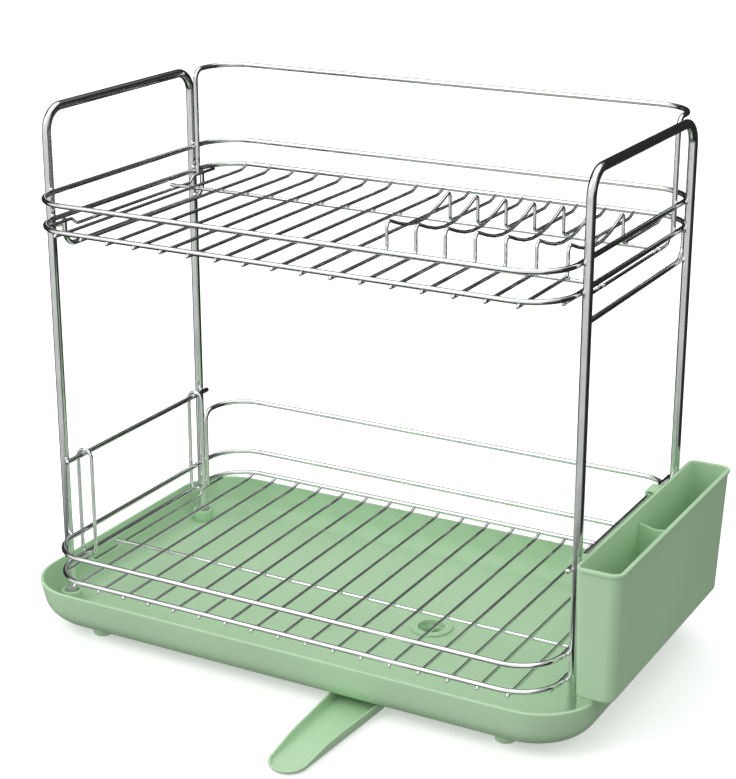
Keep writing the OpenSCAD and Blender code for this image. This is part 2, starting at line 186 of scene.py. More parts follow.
# A profile of radius and height turned round an upright axis.
def turned(profile, centre, sides=48, closed=False):
    profile = np.array(profile, float)
    a = np.linspace(0, 2 * np.pi, sides, endpoint=False)
    ring = np.stack([np.cos(a), np.sin(a), np.zeros(sides)], 1)
    rings = ring[None] * profile[:, None, None, 0] + np.array([0, 0, 1.0]) * profile[:, None, None, 1]
    return lofted(rings + np.array([centre[0], centre[1], 0]), closed)


# Several shells in one mesh.
def together(shells):
    verts, quads, tris, base = [], [], [], 0
    for v, q, t in shells:
        verts.append(v)
        quads.append(q + base)
        tris.append(t + base)
        base += len(v)
    return np.vstack(verts), np.vstack(quads), np.vstack(tris)


pieceNotes = []


# A Blender object from a shell, with its material, its body and the CAD nodes that it stands for.
def addPiece(name, shell, material, body, nodes):
    verts, quads, tris = shell
    mesh = bpy.data.meshes.new(name)
    mesh.from_pydata(verts.tolist(), [], [list(face) for faces in (quads, tris) for face in faces])
    mesh.validate()
    mesh.polygons.foreach_set("use_smooth", np.ones(len(mesh.polygons), bool))
    mesh.materials.append(material)
    mesh.update()
    piece = bpy.data.objects.new(name, mesh)
    bpy.context.scene.collection.objects.link(piece)
    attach(piece, body)
    if nodes:
        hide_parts(*nodes)
    pieceNotes.append((name, len(quads) * 2 + len(tris)))
    return piece


# ---- materials ----
def newMaterial(name):
    material = bpy.data.materials.new(name)
    material.use_nodes = True
    tree = material.node_tree
    return material, tree, tree.nodes["Principled BSDF"]


def addNode(tree, kind, **sockets):
    node = tree.nodes.new(kind)
    for key, value in sockets.items():
        node.inputs[key.replace("_", " ")].default_value = value
    return node


def rampNode(tree, stops):
    ramp = tree.nodes.new("ShaderNodeValToRGB").color_ramp
    while len(ramp.elements) < len(stops):
        ramp.elements.new(0.5)
    for element, (at, colour) in zip(ramp.elements, stops):
        element.position = at
        element.color = (*colour, 1) if len(colour) == 3 else colour
    return tree.nodes[-1]


def grey(v):
    return (v, v, v)


chrome = {
    "bright": (0.86, 0.865, 0.87),
    "dull": (0.70, 0.71, 0.72),
    "roughness": (0.06, 0.17),
    "cloudScale": 38,        # soft patches, per metre
    "peelScale": 900,        # fine unevenness of the plating
    "peelDepth": 0.10,
}


def chromeMaterial(name, values):
    material, tree, shader = newMaterial(name)
    place = tree.nodes.new("ShaderNodeTexCoord")
    cloud = addNode(tree, "ShaderNodeTexNoise", Scale=values["cloudScale"], Detail=5.0, Roughness=0.6)
    peel = addNode(tree, "ShaderNodeTexNoise", Scale=values["peelScale"], Detail=2.0)
    bump = addNode(tree, "ShaderNodeBump", Strength=values["peelDepth"], Distance=0.0002)
    tone = rampNode(tree, [(0.30, values["dull"]), (0.62, values["bright"])])
    low, high = values["roughness"]
    rough = rampNode(tree, [(0.32, grey(high)), (0.66, grey(low))])
    link = tree.links.new
    link(place.outputs["Object"], cloud.inputs["Vector"])
    link(place.outputs["Object"], peel.inputs["Vector"])
    link(cloud.outputs["Fac"], tone.inputs["Fac"])
    link(cloud.outputs["Fac"], rough.inputs["Fac"])
    link(peel.outputs["Fac"], bump.inputs["Height"])
    link(tone.outputs["Color"], shader.inputs["Base Color"])
    link(rough.outputs["Color"], shader.inputs["Roughness"])
    link(bump.outputs["Normal"], shader.inputs["Normal"])
    shader.inputs["Metallic"].default_value = 1.0
    return material


greenPlastic = {
    "deep": (0.455, 0.668, 0.430),
    "light": (0.490, 0.712, 0.466),
    "roughness": (0.40, 0.54),
    "shine": 0.30,
    "cloudScale": 9,
    "grainScale": 1500,
    "grainDepth": 0.12,
}
greyPlastic = {
    "deep": (0.40, 0.42, 0.41),
    "light": (0.46, 0.48, 0.47),
    "roughness": (0.45, 0.6),
    "shine": 0.40,
    "cloudScale": 60,
    "grainScale": 1800,
    "grainDepth": 0.15,
}


def plasticMaterial(name, values):
    material, tree, shader = newMaterial(name)
    place = tree.nodes.new("ShaderNodeTexCoord")
    cloud = addNode(tree, "ShaderNodeTexNoise", Scale=values["cloudScale"], Detail=4.0, Roughness=0.55)
    grain = addNode(tree, "ShaderNodeTexNoise", Scale=values["grainScale"], Detail=3.0, Roughness=0.6)
    wear = addNode(tree, "ShaderNodeTexNoise", Scale=values["cloudScale"] * 14, Detail=6.0, Roughness=0.7)
    bump = addNode(tree, "ShaderNodeBump", Strength=values["grainDepth"], Distance=0.0003)
    tone = rampNode(tree, [(0.30, values["deep"]), (0.70, values["light"])])
    low, high = values["roughness"]
    rough = rampNode(tree, [(0.30, grey(low)), (0.72, grey(high))])
    link = tree.links.new
    for texture in (cloud, grain, wear):
        link(place.outputs["Object"], texture.inputs["Vector"])
    link(cloud.outputs["Fac"], tone.inputs["Fac"])
    link(wear.outputs["Fac"], rough.inputs["Fac"])
    link(grain.outputs["Fac"], bump.inputs["Height"])
    link(tone.outputs["Color"], shader.inputs["Base Color"])
    link(rough.outputs["Color"], shader.inputs["Roughness"])
    link(bump.outputs["Normal"], shader.inputs["Normal"])
    shader.inputs["IOR"].default_value = 1.46
    shader.inputs["Specular IOR Level"].default_value = values["shine"]
    return material


chromeSkin = chromeMaterial("polishedChrome", chrome)
greenSkin = plasticMaterial("softGreenPlastic", greenPlastic)
greySkin = plasticMaterial("greyCapPlastic", greyPlastic)
print("materials ready")


# ---- baskets ----
alongY = (1, 0, 0)  # across vector for wires that lie in an upright plane along Y
flat = (0, 0, 1)    # across vector for wires that lie level


def rimShell(z):
    x, y = halfL, halfW
    corners = [
        (midX - x, midY - y, z), (midX + x, midY - y, z), (midX + x, midY + y, z), (midX - x, midY + y, z)]
    return tube(bentLine(corners, [basket["corner"]] * 4, closed=True, step=6), basket["rimRadius"], flat,
                sides=24, closed=True)


# A wire in an upright plane along Y: corners are (y from the middle, height above the bottom rim).
def uprightWire(x, z, corners, radii, radius, sides=18):
    line = bentLine([(x, midY + y, z + up) for y, up in corners], radii)
    return tube(line, radius, alongY, sides=sides)


def floorWire(x, z):
    corners = [
        (-halfW - basket["frontTip"], -gridDrop), (halfW - basket["rearKink"], -gridDrop),
        (rearEnd, basket["rearUp"])]
    return uprightWire(x, z, corners, [0, basket["kinkBend"], 0], basket["gridRadius"])


divider = {
    "front": -53 * mm, "frontPeak": 20.5 * mm, "hollowY": -1.5 * mm, "hollowUp": 1.5 * mm,
    "rear": 49.2 * mm, "rearPeak": 20.5 * mm, "hollowRadius": 95 * mm,
    "footRadius": 4 * mm, "frontBend": 4.5 * mm, "rearBend": 3 * mm,
    "frontLean": 0.6 * mm, "rearLean": 0.8 * mm,   # how far a peak stands in front of its foot
}


def dividerWire(x, z):
    d = divider
    corners = [
        (-halfW - basket["frontTip"], -gridDrop), (d["front"], -gridDrop),
        (d["front"] - d["frontLean"], d["frontPeak"]), (d["hollowY"], d["hollowUp"]),
        (d["rear"] - d["rearLean"], d["rearPeak"]), (d["rear"], -gridDrop),
        (halfW - basket["rearKink"], -gridDrop), (rearEnd, basket["rearUp"])]
    radii = [
        0, d["footRadius"], d["frontBend"], d["hollowRadius"], d["rearBend"], d["footRadius"],
        basket["kinkBend"], 0]
    return uprightWire(x, z, corners, radii, basket["gridRadius"])


edgeStep = {"inner": 78 * mm, "outer": 84 * mm, "bend": 5 * mm, "under": 0.1 * mm, "past": 1 * mm}


# Outermost floor wires: low between the corners and stepped up to the rim at both ends.
def edgeWire(x, z):
    e = edgeStep
    out = abs(x - midX) - halfL + basket["corner"]
    end = halfW - basket["corner"] + math.sqrt(basket["corner"] ** 2 - out ** 2) + e["past"]
    low = -gridDrop - 2 * (basket["gridRadius"] + basket["crossRadius"] - basket["sink"])
    high = -gridDrop - e["under"]
    corners = [
        (-end, high), (-e["outer"], high), (-e["inner"], low),
        (e["inner"], low), (e["outer"], high), (end, high)]
    return uprightWire(x, z, corners, [0] + [e["bend"]] * 4 + [0], basket["gridRadius"])


def crossRod(node):
    low, high = boxOf(node)
    y, z = (low[1] + high[1]) / 2, (low[2] + high[2]) / 2
    line = bentLine([(low[0], y, z), (high[0], y, z)], [0, 0])
    return tube(line, basket["crossRadius"], flat, sides=18)


# "inside" is how much tighter the rail bends than the rim
rail = {"legY": 91 * mm, "legBend": 9 * mm, "inside": 3.7 * mm}


# Back rail: up inside the rims, bent back, round the rear corners and along the back.
def railShell(node, z):
    low, high = boxOf(node)
    r = basket["rimRadius"]
    x, y = (high[0] - low[0]) / 2 - r, high[1] - r
    corners = [
        (midX - x, midY + rail["legY"], low[2]), (midX - x, midY + rail["legY"], z),
        (midX - x, y, z), (midX + x, y, z),
        (midX + x, midY + rail["legY"], z), (midX + x, midY + rail["legY"], low[2])]
    bend = basket["corner"] - rail["inside"]
    line = bentLine(corners, [0, rail["legBend"], bend, bend, rail["legBend"], 0], step=6)
    return tube(line, r, (1, 1, 1), sides=24)


for name, body in (("lower", "rack"), ("upper", "shelf")):
    tier = tiers[name]
    for end in ("top", "bottom"):
        z = tier["high"] if end == "top" else tier["low"]
        addPiece(f"{name}-{end}-rim", rimShell(z), chromeSkin, body, [f"{name}_{end}_rim"])
    inner = range(1 - basket["spaces"] // 2, basket["spaces"] // 2)
    first, last = basket["dividers"]
    raised = [k for k in inner if name == "upper" and first <= k <= last]
    plain = [k for k in inner if k not in raised]
    wires = together([floorWire(midX + k * pitch, tier["low"]) for k in plain])
    addPiece(f"{name}-floor-wires", wires, chromeSkin, body, [f"{name}_floor_wires"])
    if raised:
        wires = together([dividerWire(midX + k * pitch, tier["low"]) for k in raised])
        addPiece("plate-divider-wires", wires, chromeSkin, body, ["plate_dividers"])
    edge = basket["spaces"] / 2 * pitch
    wires = together([edgeWire(midX + s * edge, tier["low"]) for s in (-1, 1)])
    addPiece(f"{name}-edge-wires", wires, chromeSkin, body, [f"{name}_edge_wires"])
    rods = ["lower_cross_rod"] if name == "lower" else ["upper_front_cross_rod", "upper_rear_cross_rod"]
    for node in rods:
        addPiece(node.replace("_", "-"), crossRod(node), chromeSkin, body, [node])
    node = f"{name}_back_rail"
    addPiece(f"{name}-back-rail", railShell(node, tier["rail"]), chromeSkin, body, [node])
print("baskets ready")


# ---- side frames, rods and board loops ----
side = {"tubeRadius": 3.5 * mm, "bend": 18 * mm, "rodBend": 12 * mm}
for word in ("left", "right"):
    low, high = boxOf(f"{word}_frame")
    x, r = (low[0] + high[0]) / 2, side["tubeRadius"]
    y0, y1, top = low[1] + r, high[1] - r, high[2] - r
    line = bentLine([(x, y0, low[2]), (x, y0, top), (x, y1, top), (x, y1, low[2])],
                    [0, side["bend"], side["bend"], 0], step=5)
    addPiece(f"{word}-side-frame", tube(line, r, alongY, sides=36), chromeSkin, "rack", [f"{word}_frame"])
    low, high = boxOf(f"{word}_shelf_rod")
    x, r = (low[0] + high[0]) / 2, basket["rimRadius"]
    y0, y1, z0 = low[1] + r, high[1] - r, low[2] + r
    line = bentLine([(x, y0, high[2]), (x, y0, z0), (x, y1, z0), (x, y1, high[2])],
                    [0, side["rodBend"], side["rodBend"], 0])
    addPiece(f"{word}-shelf-rod", tube(line, r, alongY, sides=24), chromeSkin, "rack", [f"{word}_shelf_rod"])
    low, high = boxOf(f"{word}_guard_rod")
    x, z = (low[0] + high[0]) / 2, (low[2] + high[2]) / 2
    line = bentLine([(x, low[1], z), (x, high[1], z)], [0, 0])
    addPiece(f"{word}-guard-rod", tube(line, r, alongY, sides=24), chromeSkin, "rack", [f"{word}_guard_rod"])
for word in ("front", "rear"):
    low, high = boxOf(f"{word}_board_loop")
    r = basket["crossRadius"]
    y, bend = (low[1] + high[1]) / 2, (high[0] - low[0]) / 2 - r
    x0, x1, z0, z1 = low[0] + r, high[0] - r, low[2] + r, high[2] - r
    corners = [(x0, y, z0), (x1, y, z0), (x1, y, z1), (x0, y, z1)]
    line = bentLine(corners, [bend * 0.9999] * 4, closed=True)  # a hair under half the width
    addPiece(f"{word}-board-loop", tube(line, r, (0, 1, 0), sides=20, closed=True), chromeSkin, "rack",
             [f"{word}_board_loop"])
print("side frames ready")


# ---- weld beads: small flattened drops where wires cross ----
def beads(points, radii, columns=12, rows=7):
    polar = np.linspace(0, np.pi, rows + 2)[1:-1]
    around = np.linspace(0, 2 * np.pi, columns, endpoint=False)
    ring = np.stack([
        np.sin(polar)[:, None] * np.cos(around), np.sin(polar)[:, None] * np.sin(around),
        np.repeat(-np.cos(polar)[:, None], columns, 1)], -1) * np.array(radii)
    return together([lofted(ring + np.array(p)) for p in points])


weld = {"grid": (1.7 * mm, 2.1 * mm, 1.0 * mm), "post": (1.4 * mm, 2.3 * mm, 2.0 * mm)}
for name, body in (("lower", "rack"), ("upper", "shelf")):
    z = tiers[name]["low"]
    xs = [midX + k * pitch for k in inner]
    under = z - basket["rimRadius"] + 0.15 * mm
    spots = [(x, midY - halfW, under) for x in xs]
    spots += [(x, midY + halfW - basket["rimRadius"] * 0.9, z) for x in xs]
    for node in ["lower_cross_rod"] if name == "lower" else ["upper_front_cross_rod", "upper_rear_cross_rod"]:
        y = middleOf(node)[1]
        spots += [(x, y, z - gridDrop - basket["gridRadius"] + 0.15 * mm) for x in xs]
    addPiece(f"{name}-weld-beads", beads(spots, weld["grid"]), chromeSkin, body, [])
postX = middleOf("right_frame")[0] - midX
postY = (boxOf("right_frame")[1][1] - boxOf("right_frame")[0][1]) / 2 - side["tubeRadius"]
spots = [
    (midX + sx * (postX - side["tubeRadius"] - 0.1 * mm), midY + sy * postY, z)
    for sx in (-1, 1) for sy in (-1, 1) for z in (tiers["lower"]["low"], tiers["lower"]["high"])]
addPiece("frame-weld-beads", beads(spots, weld["post"]), chromeSkin, "rack", ["frame_welds"])
pin = {"radius": 1.5 * mm, "below": 5 * mm}  # joins the front end of a shelf rod to its post
pins = []
for s, word in ((-1, "left"), (1, "right")):
    low, high = boxOf(f"{word}_shelf_rod")
    start = ((low[0] + high[0]) / 2, low[1] + basket["rimRadius"], high[2] - pin["below"])
    end = (midX + s * postX, midY - postY, start[2])
    pins.append(tube(bentLine([start, end], [0, 0]), pin["radius"], flat, sides=14))
addPiece("shelf-rod-pins", together(pins), chromeSkin, "rack", [])
print("weld beads ready")


# ---- drip tray ----
tray = {
    "lean": 13 * mm, "midLean": 4 * mm, "midHigh": 9.5 * mm, "wall": 2.5 * mm,
    "cornerTop": 47 * mm, "cornerShrink": 7 / 13, "hubHole": 14.05 * mm,
    "footEdge": 9 * mm, "midEdge": 20 * mm, "floorEdge": 9 * mm, "lipEdge": 1.2 * mm, "flatInset": 62 * mm,
    "seatRadius": 9 * mm, "seatTop": 22 * mm, "socket": 5.6 * mm, "socketFloor": 19 * mm,
    "cornerSteps": 18,
}


# A level loop with four rounded corners: x0 to x1, y0 to y1, their radius r on the +X side and q on the -X side.
def roundedLoop(x0, x1, y0, y1, r, q, z, steps):
    corner = np.array([[x1 - r, y1 - r, r], [x0 + q, y1 - q, q], [x0 + q, y0 + q, q], [x1 - r, y0 + r, r]])
    a = np.radians(np.arange(4)[:, None] * 90 + np.linspace(0, 90, steps)[None])
    x = corner[:, 0:1] + corner[:, 2:3] * np.cos(a)
    y = corner[:, 1:2] + corner[:, 2:3] * np.sin(a)
    return np.stack([x.ravel(), y.ravel(), np.full(4 * steps, z)], 1)


def circleLoop(centre, radius, z, steps):
    return roundedLoop(centre[0] - radius, centre[0] + radius, centre[1] - radius, centre[1] + radius,
                       radius, radius, z, steps)


# A profile in the plane of (inset from the edge, height), rounded at its corners.
def profileLine(corners, radii, step=12):
    points, _ = bentLine([(e, 0, z) for e, z in corners], radii, step=step)
    return points[:, [0, 2]]


def trayShell():
    t, steps = tray, tray["cornerSteps"]
    low, high = boxOf("tray")
    bottom, top, floor = low[2], high[2], low[2] + t["wall"]
    hub = middleOf("spout_clip")
    hole = t["hubHole"]
    middle = bottom + t["midHigh"]
    section = profileLine(
        [(t["flatInset"], bottom), (t["lean"], bottom), (t["midLean"], middle), (0, top), (t["wall"], top),
         (t["midLean"] + t["wall"], middle), (t["lean"] + t["wall"] / 2, floor), (t["flatInset"], floor)],
        [0, t["footEdge"], t["midEdge"], t["lipEdge"], t["lipEdge"], t["midEdge"] * 0.85, t["floorEdge"], 0])
    loops = [
        roundedLoop(low[0] + e, high[0] - e, low[1] + e, high[1] - e,
                    t["cornerTop"] - e * t["cornerShrink"], t["cornerTop"] - e * t["cornerShrink"], z, steps)
        for e, z in section]
    edge = 0.5 * mm
    for radius, z in ((hole + 3 * mm, floor), (hole + edge, floor), (hole, floor - edge),
                      (hole, bottom + edge), (hole + edge, bottom), (hole + 3 * mm, bottom)):
        loops.append(circleLoop(hub, radius, z, steps))
    return lofted(np.array(loops)[:, ::-1][::-1], closed=True)


# Seat of a post: a low boss with a shallow socket, turned round the post; radius and height of its outline.
def seatShell(x, y):
    t = tray
    r, c = t["seatRadius"], 0.8 * mm
    profile = [
        (0.1 * mm, 10.5 * mm), (r - 1.8 * mm, 10.5 * mm), (r - 1.2 * mm, 12.5 * mm), (r - 0.3 * mm, 15 * mm),
        (r - 0.1 * mm, t["seatTop"] - c * 1.6), (r - 0.3 * c, t["seatTop"] - c * 0.4), (r - c, t["seatTop"]),
        (t["socket"] + 0.5 * mm, t["seatTop"]), (t["socket"] + 0.1 * mm, t["seatTop"] - 0.2 * mm),
        (t["socket"], t["seatTop"] - 0.6 * mm), (t["socket"], t["socketFloor"] + 0.3 * mm),
        (t["socket"] - 0.3 * mm, t["socketFloor"]), (0.1 * mm, t["socketFloor"])]
    return turned(profile, (x, y))


footRadius = 8 * mm


# Foot: a flat pad with a rounded lower edge, turned round an upright axis.
def footShell(x, y, top):
    r = footRadius
    profile = [
        (0.1 * mm, 0), (r - 2.2 * mm, 0), (r - 1.2 * mm, 0.2 * mm), (r - 0.4 * mm, 0.8 * mm),
        (r - 0.1 * mm, 1.8 * mm), (r, 3 * mm), (r, top - 0.8 * mm), (r + 0.1 * mm, top + 0.2 * mm),
        (0.1 * mm, top + 0.4 * mm)]
    return turned(profile, (x, y), sides=40)


posts = [(midX + sx * postX, midY + sy * postY) for sx in (-1, 1) for sy in (-1, 1)]
addPiece("drip-tray", trayShell(), greenSkin, "tray", ["tray"])
addPiece("post-seats", together([seatShell(x, y) for x, y in posts]), greenSkin, "tray", [])
low, high = boxOf("tray_feet")
feet = [(x, y) for x in (low[0] + footRadius, high[0] - footRadius)
        for y in (low[1] + footRadius, high[1] - footRadius)]
addPiece("tray-feet-pads", together([footShell(x, y, high[2]) for x, y in feet]), greenSkin, "tray",
         ["tray_feet"])


cap = {"radius": 5.2 * mm, "bore": 3.55 * mm, "floor": 2 * mm}


# Cap on a post end: a cup turned round the post, from z0 to z1.
def capShell(x, y, z0, z1):
    r, b = cap["radius"], cap["bore"]
    profile = [
        (0.1 * mm, z0), (r - 0.8 * mm, z0), (r - 0.2 * mm, z0 + 0.3 * mm), (r, z0 + 1 * mm),
        (r, z1 - 1.2 * mm), (r - 0.2 * mm, z1 - 0.5 * mm), (r - 0.6 * mm, z1),
        (b + 0.3 * mm, z1), (b, z1 - 0.3 * mm),
        (b, z0 + cap["floor"]), (0.1 * mm, z0 + cap["floor"])]
    return turned(profile, (x, y), sides=40)


low, high = boxOf("post_caps")
addPiece("post-end-caps", together([capShell(x, y, low[2], high[2]) for x, y in posts]), greySkin, "rack",
         ["post_caps"])
print("tray ready")


# ---- drain spout ----
spout = {
    "side": 1.8 * mm, "floor": 1.6 * mm, "fall": 5.6 * mm, "fallLength": 45 * mm, "lowEdge": 2.6 * mm,
    "even": 120 * mm, "tip": 15 * mm, "hub": 14 * mm, "bore": 11 * mm, "steps": 22,
}


# Plan of the trough moved in by e: half a circle round the pivot, even sides, sides that draw together, then
# a round tip.
def spoutLoop(e, z):
    s = spout
    low, high = boxOf("spout_trough")
    x, half, tip = (low[0] + high[0]) / 2, (high[0] - low[0]) / 2 - e, s["tip"] - e
    pivotY = middleOf("spout_clip")[1]
    tipY = low[1] + s["tip"]
    a = np.radians(np.linspace(0, 180, s["steps"]))[:, None]
    one = np.hstack([x + half * np.cos(a), pivotY + half * np.sin(a)])
    two = np.hstack([x - tip * np.cos(a), tipY - tip * np.sin(a)])
    down = np.linspace(0, 1, 12)[1:, None]
    knee = np.array([[half, pivotY - s["even"]]])
    slope = knee + (np.array([[tip, tipY]]) - knee) * down[:-1]
    sides = np.vstack([knee, slope])
    left = np.column_stack([x - sides[:, 0], sides[:, 1]])
    right = np.column_stack([x + sides[::-1, 0], sides[::-1, 1]])
    plan = np.vstack([one, left, two, right])
    return np.column_stack([plan, np.full(len(plan), z)])


# Trough: its plan carried over a wall profile whose top sinks towards the tip.
def spoutShell():
    s = spout
    low, high = boxOf("spout_trough")
    bottom, top = low[2], boxOf("tray")[0][2] - 0.3 * mm
    floor = bottom + s["floor"]
    flat = s["tip"] - 3 * mm
    section = profileLine(
        [(flat, bottom), (0, bottom), (0, top), (s["side"], top), (s["side"], floor), (flat, floor)],
        [0, s["lowEdge"], 0.8 * mm, 0.8 * mm, 2.2 * mm, 0])
    loops = []
    for e, z in section:
        loop = spoutLoop(e, z)
        sink = np.clip((low[1] + s["fallLength"] - loop[:, 1]) / s["fallLength"], 0, 1)
        share = (z - floor) / (top - floor) if z > floor else 0
        loop[:, 2] -= s["fall"] * share * sink
        loops.append(loop)
    return lofted(np.array(loops)[:, ::-1][::-1])


# Hub: a ring above the trough, and below it the same ring with a port left open towards the tip.
def hubShell():
    s = spout
    x, y, _ = middleOf("spout_clip")
    z0, z1 = boxOf("spout_trough")[0][2] + s["floor"] - 0.2 * mm, boxOf("spout_trough")[1][2]
    split = boxOf("tray")[0][2] - 0.3 * mm
    ring = profileLine(
        [(s["bore"] + 0.5 * mm, split), (s["hub"], split), (s["hub"], z1),
         (s["bore"], z1), (s["bore"], split), (s["bore"] + 0.5 * mm, split)],
        [0, 0.2 * mm, 0.5 * mm, 0.5 * mm, 0.2 * mm, 0])
    upper = turned(ring[:-1], (x, y), closed=True)
    a = np.radians(np.linspace(-60, 240, 61))
    overlap = split + 0.3 * mm
    corner = np.array([(s["bore"], z0), (s["hub"], z0), (s["hub"], overlap), (s["bore"], overlap)])
    rings = np.stack([
        x + corner[None, :, 0] * np.cos(a)[:, None], y + corner[None, :, 0] * np.sin(a)[:, None],
        np.repeat(corner[None, :, 1], len(a), 0)], -1)
    return together([upper, lofted(rings[:, ::-1])])


def clipShell():
    low, high = boxOf("spout_clip")
    x, y, _ = middleOf("spout_clip")
    outer, inner = (high[0] - low[0]) / 2, spout["hub"]
    ring = profileLine(
        [((outer + inner) / 2, low[2]), (outer, low[2]), (outer, high[2]), (inner, high[2]), (inner, low[2]),
         ((outer + inner) / 2, low[2])],
        [0, 0.3 * mm, 0.6 * mm, 0.3 * mm, 0.2 * mm, 0])
    return turned(ring[:-1], (x, y), closed=True)


addPiece("drain-spout", together([spoutShell(), hubShell()]), greenSkin, "spout", ["spout_trough"])
addPiece("spout-clip-ring", clipShell(), greenSkin, "spout", ["spout_clip"])
print("spout ready")


# ---- cutlery holder ----
holder = {
    "wall": 2.2 * mm, "floor": 2.2 * mm, "leanOut": 4 * mm, "leanIn": 1.5 * mm, "leanEnd": 4 * mm,
    "lipHigh": 3 * mm, "lipOut": 1.2 * mm, "innerCorner": 5 * mm, "outerCorner": 8 * mm, "footEdge": 3 * mm,
    "slotWidth": 3 * mm, "slotLength": 16 * mm, "slotPitch": 24 * mm, "steps": 14,
    "slotEdge": 0.4 * mm, "slotEnd": 1.4 * mm,   # bevel round the slots, and the corner radius of their row
    "flatEdge": 9 * mm,   # inset at which the wall profile ends on the floor
}


def holderFrame():
    low, high = boxOf("cutlery_shell")
    h = holder
    return {
        "x0": low[0], "x1": high[0] - h["lipOut"], "y": (low[1] + high[1]) / 2,
        "half": (high[1] - low[1]) / 2 - h["lipOut"], "z0": low[2], "z1": high[2]}


# Loop of the holder at height z, moved in by e: the faces lean in towards the bottom.
def holderLoop(e, z):
    h, f = holder, holderFrame()
    down = min(1, max(0, (f["z1"] - z) / (f["z1"] - f["z0"])))
    x0 = f["x0"] + h["leanIn"] * down + max(e, 0)
    x1 = f["x1"] - h["leanOut"] * down - e
    half = f["half"] - h["leanEnd"] * down - e
    outer, inner = max(h["outerCorner"] - e, h["slotEnd"]), max(h["innerCorner"] - e, h["slotEnd"])
    return roundedLoop(x0, x1, f["y"] - half, f["y"] + half, outer, inner, z, h["steps"])


def holderShell():
    h, f = holder, holderFrame()
    lip = f["z1"] - h["lipHigh"]
    floor = f["z0"] + h["floor"]
    section = profileLine(
        [(h["flatEdge"], f["z0"]), (0, f["z0"]), (0, lip), (-h["lipOut"], lip + 0.2 * mm),
         (-h["lipOut"], f["z1"]), (h["wall"], f["z1"]), (h["wall"], floor), (h["flatEdge"], floor)],
        [0, h["footEdge"], 0.3 * mm, 0.5 * mm, 0.9 * mm, 0.9 * mm, 3 * mm, 0])
    loops = [holderLoop(e, z) for e, z in section]
    x = (f["x0"] + h["leanIn"] + f["x1"] - h["leanOut"]) / 2
    long = 4 * h["slotPitch"] + h["slotLength"] / 2
    c, end = h["slotEdge"], h["slotEnd"]
    for e, z in ((c, floor), (0, floor - c), (0, f["z0"] + c), (c, f["z0"])):
        w = h["slotWidth"] / 2 + e
        loops.append(roundedLoop(x - w, x + w, f["y"] - long - e, f["y"] + long + e, end, end, z, h["steps"]))
    return lofted(np.array(loops)[:, ::-1][::-1], closed=True)


# Bars between the drain slots, each a small block with rounded upright edges.
def slotBars():
    h, f = holder, holderFrame()
    x = (f["x0"] + h["leanIn"] + f["x1"] - h["leanOut"]) / 2
    w = h["slotWidth"] / 2 + 0.3 * mm
    pitch, reach = h["slotPitch"], h["slotLength"] / 2
    spans = [(k * pitch + reach, (k + 1) * pitch - reach) for k in (-4, -3, -2, 1, 2, 3)]
    spans.append((-pitch + reach, pitch - reach))
    shells = []
    for a, b in spans:
        z = [f["z0"] + 0.05 * mm, f["z0"] + 0.3 * mm,
             f["z0"] + h["floor"] - 0.3 * mm, f["z0"] + h["floor"] - 0.05 * mm]
        e = [0.3 * mm, 0, 0, 0.3 * mm]
        rings = [roundedLoop(x - w, x + w, f["y"] + a + i, f["y"] + b - i, 0.2 * mm, 0.2 * mm, up, 4)
                 for i, up in zip(e, z)]
        shells.append(lofted(np.array(rings)))
    return together(shells)


partition = {"thick": 2 * mm, "below": 10 * mm, "dip": 2.5 * mm, "sink": 0.4 * mm, "columns": 25}


# Wall between the compartments: a rounded strip carried across the holder; its top edge dips in the middle.
def partitionShell():
    h, f, p = holder, holderFrame(), partition
    top = f["z1"] - p["below"]
    floor = f["z0"] + h["floor"] - p["sink"]
    across = np.linspace(0, 1, p["columns"])[:, None]
    a = np.radians(np.linspace(0, 180, 9))
    half = p["thick"] / 2
    y = np.concatenate([[half, half], half * np.cos(a), [-half, -half]])
    share = np.concatenate([[0, 0.5], np.ones(len(a)), [0.5, 0]])
    above = np.concatenate([[0, 0], half * np.sin(a) - half, [0, 0]])
    crest = top - p["dip"] * np.sin(np.pi * across) ** 2
    z = floor + (crest - floor) * share[None] + above[None]
    down = (f["z1"] - z) / (f["z1"] - f["z0"])
    left = f["x0"] + h["leanIn"] * down + h["wall"] - p["sink"]
    right = f["x1"] - h["leanOut"] * down - h["wall"] + p["sink"]
    x = left + (right - left) * across
    return lofted(np.stack([x, f["y"] + np.repeat(y[None], len(across), 0), z], -1))


hook = {"thick": 1.8 * mm, "play": 0.3 * mm, "below": 4 * mm, "edge": 0.5 * mm, "width": 14 * mm}


# Hook: an outline in the XZ plane, moved outwards along its own normals, carried along Y with rounded edges.
def hookShell(y):
    k = hook
    low, high = boxOf("right_guard_rod")
    x, z = (low[0] + high[0]) / 2, (low[2] + high[2]) / 2
    g = basket["rimRadius"] + k["play"]
    wall = holderFrame()["x0"]
    left, top, foot = x - g - k["thick"], z + g + k["thick"], z - k["below"]
    a = wall - k["thick"]
    corners = [
        (left, 0, foot), (x - g, 0, foot), (x - g, 0, z + g), (x + g, 0, z + g), (x + g, 0, z),
        (a, 0, z), (a, 0, foot), (wall + 0.6 * mm, 0, foot), (wall + 0.6 * mm, 0, top), (left, 0, top)]
    radii = [
        0.7 * mm, 0.7 * mm, g * 0.97, g * 0.97, 0.3 * mm, 0.3 * mm, 0.5 * mm, 0.3 * mm, 0.3 * mm, 2.4 * mm]
    points, ways = bentLine(corners, radii, closed=True, step=18)
    outward = np.stack([ways[:, 2], np.zeros(len(ways)), -ways[:, 0]], 1)
    half, b = k["width"] / 2, k["edge"]
    rings = []
    for inset, along in ((b, -half), (0.3 * b, -half + 0.3 * b), (0, -half + b), (0, half - b),
                         (0.3 * b, half - 0.3 * b), (b, half)):
        rings.append(points - outward * inset + np.array([0, y + along, 0]))
    rings = np.array(rings)
    return cappedFlat(rings)


